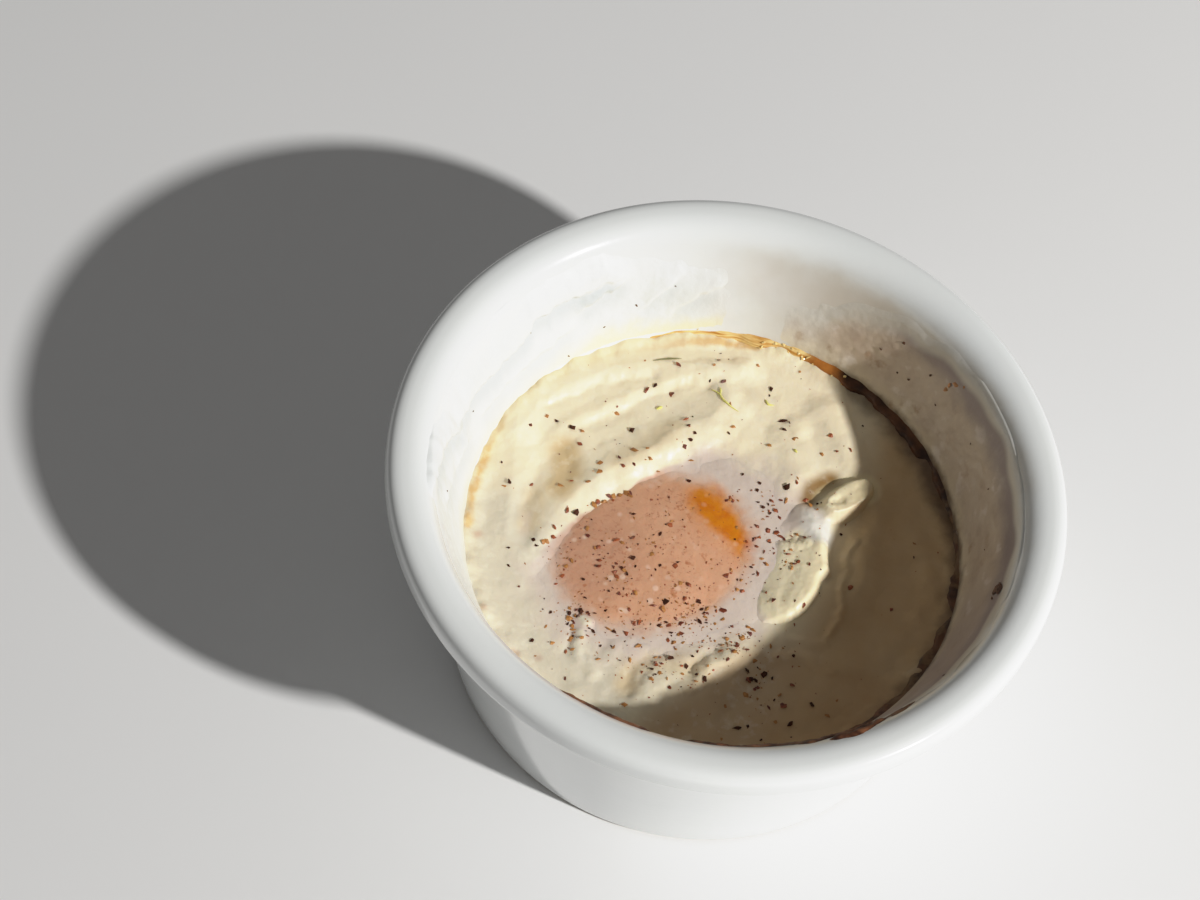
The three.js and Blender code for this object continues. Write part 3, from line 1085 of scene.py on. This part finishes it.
EDGE_ROUND = [
    # direction, how far the crust stands off the wall and its upper edge
    (-180, 0, 25.4), (-90, 0, 25.4), (-75, 0.2, 26.2), (-60, 0.45, 26.4), (-50, 0.5, 26.4),
    (-32, 0.6, 26.3), (-22, 1.0, 26.5), (-12, 0.9, 26.4), (-4, 0.6, 26.2), (2, 0.8, 26.3),
    (8, 0.7, 26.3), (14, 0.4, 26.1), (24, 0.3, 26.1), (30, 0.4, 26.2), (36, 0.6, 26.4),
    (42, 0.8, 26.6), (50, 0.9, 26.6), (58, 0.9, 26.6), (66, 0.8, 26.5), (74, 0.8, 26.5),
    (90, 0.6, 26.4), (100, 0.4, 26.3), (112, 0.2, 26.1), (122, 0, 25.4), (180, 0, 25.4),
]
EDGE_TURNS, EDGE_DEPTHS, EDGE_TOPS = zip(*EDGE_ROUND)
# the farthest that the crust could stand off the wall
CRUST_MOST = 4


def browned_edge():
    """The crust where the cream meets the wall: gold at the back, dark and ragged at the right."""
    piece = wall_band("browned_edge", low=24.0, high=29.6, steps=960, row=0.24)

    def spread(at):
        turn = turn_of(at)
        deep = np.interp(turn, EDGE_TURNS, EDGE_DEPTHS) * (1 + 0.35 * uneven(turn, 17, 29, 43))
        top = np.interp(turn, EDGE_TURNS, EDGE_TOPS) + 0.12 * uneven(turn, 13, 23, 37, 61)
        under = np.clip(top - at[:, 2], 0, 9)
        skin = 0.2 * np.clip(under * 4, 0, 1) * np.clip(deep * 2, 0, 1)
        return (skin + deep * np.clip(under / 0.9, 0, 1)) / CRUST_MOST

    def worn(at):
        dark = hump(turn_of(at), -70, 62, 10, 14)
        return np.clip(wall_radius(at[:, 2]) - np.hypot(at[:, 0], at[:, 1]), 0, 1) * (0.15 + 0.85 * dark)

    raised(piece, "crust", spread, CRUST_MOST)
    ragged = weigh(piece, "ragged", worn)
    roughen(piece, (3.6, 0.8), (1.5, 0.5), (0.7, 0.3), weights=ragged)
    return soft(piece, 80)


def lip_residue():
    """What boiled up and browned on the shoulder of the lip, on the near side."""
    piece = wall_band("lip_residue", low=38.6, high=44.7, steps=900, row=0.22)

    def spread(at):
        turn = turn_of(at)
        reach = hump(turn, -106, -44, 6, 8)
        middle = 42.35 + 0.2 * uneven(turn, 5, 13, 22)
        tall = 0.6 + 0.3 * uneven(turn, 11, 23, 38)
        broken = np.clip(0.9 + 0.8 * uneven(turn, 9, 17, 29), 0, 1)
        line = broken * reach * np.clip(1 - np.abs(at[:, 2] - middle) / np.maximum(tall, 0.15), 0, 1) ** 0.5
        patch_turn = (turn + 53.5 + 1.2 * uneven(at[:, 2] * 40, 3, 5)) / 5.0
        patch_high = (at[:, 2] - 43.1) / 0.95
        far = np.hypot(patch_turn, patch_high)
        patch = np.clip(1.15 - np.abs(far - 0.72) / 0.38, 0, 1) + 0.25 * np.clip(1 - far, 0, 1)
        return 0.55 * np.maximum(line, patch)

    residue = raised(piece, "residue", spread, most=0.8)
    roughen(piece, (1.7, 1.0), (0.7, 0.5), weights=residue)
    return soft(piece, 80)


def browned_crust():
    """Gold, orange-brown or nearly burnt, by its place round the dish."""
    finish = Finish("browned_crust", Coat_Weight=0.1, Coat_Roughness=0.2, Specular_IOR_Level=0.3)
    grain = finish.cloud(1.1, detail=4)
    drawn_out = finish.node("VectorMath", {"operation": "MULTIPLY"}, {0: finish.place, 1: (0.2, 0.2, 3)})
    lines = finish.cloud(0.7, detail=2, place=drawn_out)
    gold = finish.mix(lines.ramp(0.3, 0.7), srgb(190, 128, 44), srgb(238, 208, 138))
    dark = finish.cloud(2.4, detail=3, shift=6).ramp(0.3, 0.7)
    reddish = finish.cloud(1.8, detail=4, shift=8).ramp(0.35, 0.65)
    side = (finish.turn - HOT_TURN + finish.waver(5, 24, detail=3, shift=5)).unsigned()
    worn = finish.cloud(2.6, detail=3, shift=27).ramp(0.46, 0.6)
    worn = worn * finish.turn.ramp(40, 28) * finish.turn.ramp(-50, -30)
    crust = finish.coated(
        gold,
        (side.ramp(66, 58), finish.mix(grain, srgb(140, 80, 24), srgb(186, 118, 48))),
        (side.ramp(57, 49), finish.mix(dark, srgb(50, 26, 12), srgb(98, 58, 28))),
        (finish.y.ramp(-16, -22), finish.mix(reddish, srgb(62, 32, 20), srgb(132, 86, 58))),
        (worn * 0.6, srgb(126, 98, 64)),
    )
    finish.use(Base_Color=crust, Roughness=0.4 + grain * 0.3)
    return finish.bump(grain * 0.6 + lines * 0.4, 0.15)


# ---------------------------------------------------------------- things scattered on top


def tops(*pieces):
    """What a falling crumb meets: the pieces as one tree of faces."""
    corners, faces = [], []
    for piece in pieces:
        start = len(corners)
        corners += [v.co.copy() for v in piece.data.vertices]
        faces += [[start + i for i in face.vertices] for face in piece.data.polygons]
    return BVHTree.FromPolygons(corners, faces)


def crumb_shape():
    """One flake, modelled once: a small ball broken to flat facets."""
    piece = begin("flake", bpy.ops.mesh.primitive_ico_sphere_add, subdivisions=1, radius=0.5)
    edit(piece)
    at = points(piece) * MM
    pick(piece, at[:, 0] > 0.25)
    bpy.ops.transform.resize(value=(1, 0.6, 0.7), center_override=(0, 0, 0))
    pick(piece, at[:, 2] < -0.2)
    bpy.ops.transform.translate(value=(0, 0, 0.2))
    drop_all()
    return piece


def ground_below(ground, x, y):
    """The ground below a place, and the way it faces there."""
    return ground.ray_cast(Vector((x * MM, y * MM, 0.1)), Vector((0, 0, -1)))[:2]


def wall_beside(ground, turn, z):
    """What lies in a direction from the dish's axis, at a height, and the way it faces."""
    way = Vector((math.cos(math.radians(turn)), math.sin(math.radians(turn)), 0))
    return ground.ray_cast(Vector((0, 0, z * MM)), way)[:2]


def scattered(name, places, ground, flat=0.6, find=ground_below):
    """Copies of one flake, each turned and sized by itself, lying on the ground at its place."""
    flake = crumb_shape()
    shape = [v.co.copy() for v in flake.data.vertices]
    facets = [tuple(face.vertices) for face in flake.data.polygons]
    bpy.data.objects.remove(flake)
    corners, faces = [], []
    for *place, size in places:
        spot, normal = find(ground, *place)
        if spot is None:
            continue
        lie = normal.to_track_quat("Z", "Y").to_matrix() @ Matrix.Rotation(SHOTS.uniform(0, 6.28), 3, "Z")
        lie = lie @ Matrix.Rotation(SHOTS.uniform(-0.5, 0.5), 3, "X")
        grow = Vector((size, size * SHOTS.uniform(0.4, 0.95), size * SHOTS.uniform(0.3, flat))) * MM
        start = len(corners)
        for corner in shape:
            ragged = Vector([c * g * SHOTS.uniform(0.35, 1.5) for c, g in zip(corner, grow)])
            corners.append(spot + normal * grow.z * 0.2 + lie @ ragged)
        faces += [tuple(start + i for i in facet) for facet in facets]
    mesh = bpy.data.meshes.new(name)
    mesh.from_pydata(corners, [], faces)
    piece = bpy.data.objects.new(name, mesh)
    bpy.context.scene.collection.objects.link(piece)
    return piece


THICK_PLACES = [
    # how thickly the seasoning fell, its middle and its reach: on the yolk, near it, and to its right
    (0.4, (-5, -8), (13, 11)),
    (0.8, (-1, -19), (15, 7)),
    (0.35, (10, 5), (7, 8)),
]
THIN_EVERYWHERE = 0.1
THINNED_BY_WALL = 0.35


def crowd(x, y):
    """How thickly the seasoning fell at a place, 0 to 1."""
    share = THIN_EVERYWHERE
    for most, (middle_x, middle_y), (reach_x, reach_y) in THICK_PLACES:
        share += most * math.exp(-(((x - middle_x) / reach_x) ** 2) - ((y - middle_y) / reach_y) ** 2)
    return min(1, share) * (THINNED_BY_WALL if x > 20 or x < -26 else 1)


CLUMPS = [(SHOTS.uniform(-22, 14), SHOTS.uniform(-27, 10)) for _ in range(60)]
# the share of flakes that fall in clumps, how far they stray there, and how much the fine ones prevail
CLUMPED = 0.45
CLUMP_SPREAD = 1.6
FINE_PREVAIL = 2.2
# how far from the axis anything fell, in millimetres
SEASONED_RADIUS = 36


def sprinkle(count, low, high):
    """Random places for flakes of random size, thicker in the crowd, nearly half of them in clumps."""
    made = []
    while len(made) < count:
        if SHOTS.random() < CLUMPED:
            x, y = (SHOTS.gauss(middle, CLUMP_SPREAD) for middle in SHOTS.choice(CLUMPS))
        else:
            turn, out = SHOTS.uniform(0, 2 * math.pi), SEASONED_RADIUS * math.sqrt(SHOTS.random())
            x, y = out * math.cos(turn), out * math.sin(turn)
        if math.hypot(x, y) < SEASONED_RADIUS and SHOTS.random() < crowd(x, y):
            made.append((x, y, low + (high - low) * SHOTS.random() ** FINE_PREVAIL))
    return made


PEPPERCORN_BITS = [
    # across, away from the viewer, size
    (2.7, 29.5, 1.1), (2.8, 28.1, 0.6), (5.9, 24, 1.4), (6.3, 22.5, 1), (9.1, 12.7, 1.4),
    (-16.3, 15.2, 1.2), (-14.8, 24.2, 1), (-25.3, 12.7, 1.4), (-27.8, 13.1, 0.8), (-31.8, 0, 1.1),
    (-20.9, -2, 1.5), (-8.1, 17.8, 0.9), (-6.9, 17, 0.8), (-7.1, 15.6, 0.9), (-1.8, 19.1, 0.7),
    (-6.8, 27.6, 0.7), (4.8, 12.2, 0.6), (4.7, 10.8, 0.7), (5.3, 8.7, 0.7), (6.2, 8, 0.9),
    (7.4, 7.3, 0.7), (6.9, 8.9, 0.6), (-5.8, 9, 0.8), (-12.4, 0.1, 0.9), (-10.7, -7.4, 0.9),
    (-4.2, -13, 1.2), (-3.3, -16, 0.8), (1.4, -14.3, 1), (-12.5, -16.9, 0.6), (-16, -18, 1.2),
    (-17.5, -18.8, 0.8), (-17.3, -20.7, 0.9), (-13.3, -20.7, 1), (-10.5, -19.8, 0.9), (-21.6, -24.9, 1),
    (-25.8, -8.7, 0.9), (-25.1, -9.4, 0.7), (-29, -11, 0.7), (-28.2, -13.7, 0.7), (-1.3, -21.7, 1),
    (1.2, -22.3, 0.9), (3, -23.5, 0.8), (4.3, -24, 0.9), (12.6, -20.2, 1.2), (10, -20.5, 1),
    (10.9, -21.6, 1.1), (17.9, -27, 1.1), (10.7, -29.8, 1.4), (12.1, -29.2, 0.8), (20.3, -23, 0.9),
    (30.3, 6.5, 0.6), (18.8, 7.7, 0.6), (16.3, 1.4, 0.5),
]
CHILLI_BITS = [
    (-12, 23.7, 1.3), (-12.2, 28.8, 1), (-8.7, 19.1, 1.2), (-7.8, 14.4, 1), (13.7, 23.6, 1.2),
    (12.3, 11.5, 1.1), (7.3, 9.6, 0.9), (-4.7, 28, 1), (-6.4, 31.7, 0.7), (13.4, 4.2, 1),
    (15.7, -7.6, 1), (11.2, -8, 1), (22, -1.7, 1.3), (28.7, -3.4, 0.7), (-15.4, -10.2, 1.2),
    (-20.1, -13, 0.9), (-23.1, -7, 1), (-23.3, -5.6, 0.9), (-16.9, 8.9, 0.9), (-16, 7.7, 0.9),
    (16.9, -20.6, 0.9), (16.4, -24.3, 1.1), (-28.6, 1.1, 0.9), (8, -3.6, 0.9), (7.6, -17, 0.9),
    (-22.9, 2.9, 0.7), (6.2, 2, 0.9), (6.8, 0.9, 0.9), (9.9, -6.7, 0.7), (-18.2, 1.1, 0.8),
    (-16.8, 2.3, 1.3), (-15.4, 3.2, 0.7), (-14, 3.9, 1.1), (-16, 1.9, 0.6), (6, 4.4, 0.8),
    (5.2, 1.2, 0.7),
]
SPICE_BITS = [
    (-29.5, 13.4, 1.2), (-23.6, 12.7, 1), (-24.2, 1.7, 1.5), (-15, 11, 1.4), (-12.4, 10.4, 1),
    (-19.2, 5.2, 1), (-13.2, 11.8, 0.8), (4.8, 19.2, 1.2), (8.2, 21.3, 0.9), (-1.4, 20.4, 0.9),
    (9.4, 10.4, 1.1), (-18.6, 0.3, 1.2), (-17.4, 1.3, 1.3), (-16.2, 2.6, 1.2), (-15.3, 3.1, 1),
    (-14.4, 3.7, 1.2), (-6.4, -21, 1.4), (-16.9, 1.2, 0.8), (-13.6, 3.4, 0.7), (-17.2, -19.6, 1.1),
    (-16.6, -20.6, 1), (-23.9, -8.2, 0.9), (-6.2, 12.8, 1), (-10.6, 9.2, 0.8), (-32.4, -0.7, 0.8),
    (-19.3, 17.7, 0.8), (13, 20, 0.8), (10.3, 14.5, 0.7), (8.2, -15.2, 1),
]


def strewn(piece, name, shades, dark, pale, relief=(0.3, 0.1), slot="seasoning", **uniform):
    """Gives scattered bits their material: two colours shared out by shades, and a fine relief."""
    finish = Finish(name, **uniform)
    finish.use(Base_Color=finish.mix(shades(finish), dark, pale))
    size, height = relief
    place_on(finish.bump(finish.cloud(size), height).on(piece))


def seasonings(ground):
    """Ground pepper, chilli flakes and paler spice: a few coarse bits, many fine ones."""
    pepper = scattered("pepper", PEPPERCORN_BITS + sprinkle(110, 0.3, 0.8), ground)
    strewn(
        pepper, "ground_pepper", lambda finish: finish.cloud(0.5, detail=2),
        srgb(34, 18, 12), srgb(92, 50, 30), Roughness=0.8, Specular_IOR_Level=0.2,
    )
    chilli = scattered("chilli", CHILLI_BITS + sprinkle(220, 0.3, 1.1), ground, flat=0.4)
    strewn(
        chilli, "chilli_flakes", lambda finish: finish.cloud(1.5, detail=2).ramp(0.35, 0.65),
        srgb(98, 40, 24), srgb(164, 86, 46), Roughness=0.45,
    )
    spice = scattered("spice", SPICE_BITS + sprinkle(260, 0.3, 1.05), ground, flat=0.35)
    strewn(
        spice, "pale_spice", lambda finish: finish.cloud(1.5, detail=2),
        srgb(146, 88, 40), srgb(196, 140, 74), Roughness=0.55,
    )
    place_on(herb_green().on(herbs(ground)))
    dust = scattered("spice_dust", sprinkle(520, 0.14, 0.34), ground)
    strewn(
        dust, "spice_dust", lambda finish: finish.cloud(0.9, detail=1).ramp(0.4, 0.6),
        srgb(120, 62, 38), srgb(186, 118, 72), relief=(0.2, 0.05), Roughness=0.6,
    )


WALL_SPECKS = [
    # direction, height and size of each speck on the inner wall
    (113, 34.5, 0.5), (130, 29.5, 0.5), (60, 37.5, 0.8), (51, 36.5, 0.7), (46, 33.5, 0.5),
    (58, 32.5, 0.5), (21, 36, 0.6), (150, 36.5, 0.4), (122, 32, 0.6), (140, 27, 0.6), (64, 34, 0.7),
    (55, 33, 0.6), (-6, 39.5, 1.8), (-7, 40.5, 2), (-5, 40, 1.4), (-8, 39, 1), (-30, 40.5, 0.7),
    (-48, 38, 0.6), (172, 33.5, 0.4), (196, 37, 0.5), (8, 33.5, 0.5), (33, 35.5, 0.5),
]
ORANGE_SPECKS = [(46, 38, 1.4), (45, 39, 1.2), (46, 37, 0.9), (43, 40, 0.6)]
FAT_BEADS = [(SHOTS.gauss(82, 9), SHOTS.uniform(24.9, 26.4), SHOTS.uniform(0.35, 0.8)) for _ in range(34)]


def wall_marks(wall):
    """Burnt specks and one orange smear on the inner wall, and beads of fat along the gold edge."""
    specks = scattered("wall_specks", WALL_SPECKS, wall, flat=0.35, find=wall_beside)
    strewn(
        specks, "burnt_specks", lambda finish: finish.cloud(0.6),
        srgb(64, 36, 24), srgb(112, 74, 50), relief=(0.3, 0.05), Roughness=0.6,
    )
    smear = scattered("orange_specks", ORANGE_SPECKS, wall, flat=0.3, find=wall_beside)
    strewn(
        smear, "orange_smear", lambda finish: finish.cloud(0.6),
        srgb(184, 124, 76), srgb(206, 154, 106), relief=(0.3, 0.05), Roughness=0.5,
    )
    beads = scattered("fat_beads", FAT_BEADS, wall, find=wall_beside)
    strewn(
        beads, "fat_beads", lambda finish: finish.cloud(0.8),
        srgb(222, 176, 84), srgb(244, 224, 168), relief=(0.3, 0.03), slot="crust",
        Roughness=0.15, Coat_Weight=0.5,
    )


HERB_THREADS = [
    # how thick, and the line that each thread lies along
    (0.28, [(-6.2, 26.1), (-4.9, 25.5), (-3.9, 24.4), (-2.6, 23.7), (-1.2, 23.3)]),
    (0.35, [(2.4, 26.9), (3.0, 26.2), (3.9, 26.4)]),
    (0.24, [(-4.6, 25.4), (-4.9, 26.6)]),
    (0.22, [(-16.2, 28.4), (-14.6, 29.3), (-13.2, 29.8), (-12, 30.2)]),
    (0.4, [(-13.6, 20.2), (-12.8, 20.9)]),
    (0.35, [(8.6, 19.4), (9.2, 18.9)]),
]


def herbs(ground):
    """Shreds of herb: thin stalks drawn out along their lines, thinner at both ends, lying on the cream."""
    shreds = []
    for thick, line in HERB_THREADS:
        path = smooth_line(line, 5)
        spots = [Vector((x * MM, y * MM, ground_below(ground, x, y)[0].z + 0.12 * MM)) for x, y in path]
        heading = (spots[1] - spots[0]).to_track_quat("Z", "Y").to_euler()
        shred = begin(
            "herb_shreds",
            bpy.ops.mesh.primitive_circle_add,
            vertices=8,
            radius=0.2 * thick * MM,
            location=spots[0],
            rotation=heading,
            fill_type="NGON",
        )
        edit(shred)
        pick_all()
        full = np.sin(np.linspace(0.35, math.pi - 0.25, len(spots)))
        for before, spot, old, new in zip(spots, spots[1:], full, full[1:]):
            bpy.ops.mesh.extrude_region_move(TRANSFORM_OT_translate={"value": spot - before})
            bpy.ops.transform.resize(value=[new / old] * 3, center_override=spot)
        face_outward()
        drop_all()
        shreds.append(shred)
    for shred in shreds:
        shred.select_set(True)
    bpy.context.view_layer.objects.active = shreds[0]
    bpy.ops.object.join()
    return soft(shreds[0])


def herb_green():
    finish = Finish("herb_green", Roughness=0.5)
    far = finish.from_point(-14, 29).ramp(5, 3)
    fresh = finish.mix(finish.cloud(0.8), srgb(214, 208, 96), srgb(236, 230, 140))
    finish.use(Base_Color=finish.mix(far, fresh, srgb(126, 122, 76)))
    return finish.bump(finish.cloud(0.3), 0.05)


# ---------------------------------------------------------------- stage


def stand():
    floor = begin("floor", bpy.ops.mesh.primitive_plane_add, size=6, location=(0, 0, 0))
    finish = Finish("floor_paper", Roughness=0.9)
    finish.use(Base_Color=finish.mix(finish.cloud(90), (0.79, 0.79, 0.79), (0.82, 0.82, 0.82)))
    finish.on(floor)


# how far the view is tilted down, turned and rolled, in degrees, and where it is taken from, in metres
VIEW_ANGLES = (57.04, -5.06, 10.88)
VIEW_PLACE = (0, -0.2175, 0.3777)
VIEW_LENS = 82.1


def camera():
    """Looks down on the dish from the near side, a little rolled."""
    pitch, yaw, roll = (math.radians(angle) for angle in VIEW_ANGLES)
    look = Vector((math.sin(yaw) * math.cos(pitch), math.cos(yaw) * math.cos(pitch), -math.sin(pitch)))
    level = look.cross(Vector((0, 0, 1))).normalized()
    rise = level.cross(look)
    right = level * math.cos(roll) + rise * math.sin(roll)
    up = rise * math.cos(roll) - level * math.sin(roll)
    data = bpy.data.cameras.new("camera")
    data.sensor_width = 36
    data.lens = VIEW_LENS
    eye = bpy.data.objects.new("camera", data)
    bpy.context.scene.collection.objects.link(eye)
    turn = Matrix((right, up, -look)).transposed().to_4x4()
    eye.matrix_world = Matrix.Translation(VIEW_PLACE) @ turn
    bpy.context.scene.camera = eye


# the lamp that stands for low sun: its direction and distance, its size and its strength
KEY_WAY = (1.34, -0.5, 1.0)
KEY_DISTANCE = 1.1
KEY_SIZE = 0.045
KEY_WATTS = 13.8
KEY_TINT = (1, 0.99, 0.97)
ROOM_TINT = (1.0, 0.985, 0.965, 1)
ROOM_STRENGTH = 0.15
# how bright tones are drawn together, as light and what is shown of it, up to the shoulder
BRIGHT_TONES = ((0.6, 0.6), (0.75, 0.745), (0.9, 0.85), (1.1, 0.91), (1.5, 0.955), (2.2, 0.985))
SHOULDER = 3.0


def lights():
    """A small strong lamp, a little light from all sides, and softened bright tones."""
    data = bpy.data.lights.new("key", "AREA")
    data.shape = "DISK"
    data.size = KEY_SIZE
    data.energy = KEY_WATTS
    data.color = KEY_TINT
    key = bpy.data.objects.new("key", data)
    bpy.context.scene.collection.objects.link(key)
    away = Vector(KEY_WAY).normalized()
    key.location = away * KEY_DISTANCE
    key.rotation_euler = away.to_track_quat("Z", "Y").to_euler()
    world = bpy.data.worlds.new("soft_room")
    world.use_nodes = True
    background = world.node_tree.nodes["Background"]
    background.inputs["Color"].default_value = ROOM_TINT
    background.inputs["Strength"].default_value = ROOM_STRENGTH
    bpy.context.scene.world = world
    show = bpy.context.scene.view_settings
    show.view_transform = "Standard"
    show.use_curve_mapping = True
    curves = show.curve_mapping
    curves.white_level = (SHOULDER, SHOULDER, SHOULDER)
    for light, shown in BRIGHT_TONES:
        curves.curves[3].points.new(light / SHOULDER, shown)
    curves.update()


stand()
camera()
lights()
place_on(glaze().on(dish()), "ramekin")
cream_finish = set_cream()
bed = place_on(cream_finish.on(cream_bed()), "cream")
white = place_on(set_white().on(egg_white_pool()), "egg_white")
yolk = place_on(cooked_yolk().on(yolk_dome()), "yolk")
curl = place_on(cream_finish.on(cream_curl()), "cream_curl")
film = place_on(baked_film().on(wall_film()))
crust_finish = browned_crust()
edge = place_on(crust_finish.on(browned_edge()))
place_on(crust_finish.on(lip_residue()))
seasonings(tops(bed, white, yolk, curl))
wall_marks(tops(film, edge))
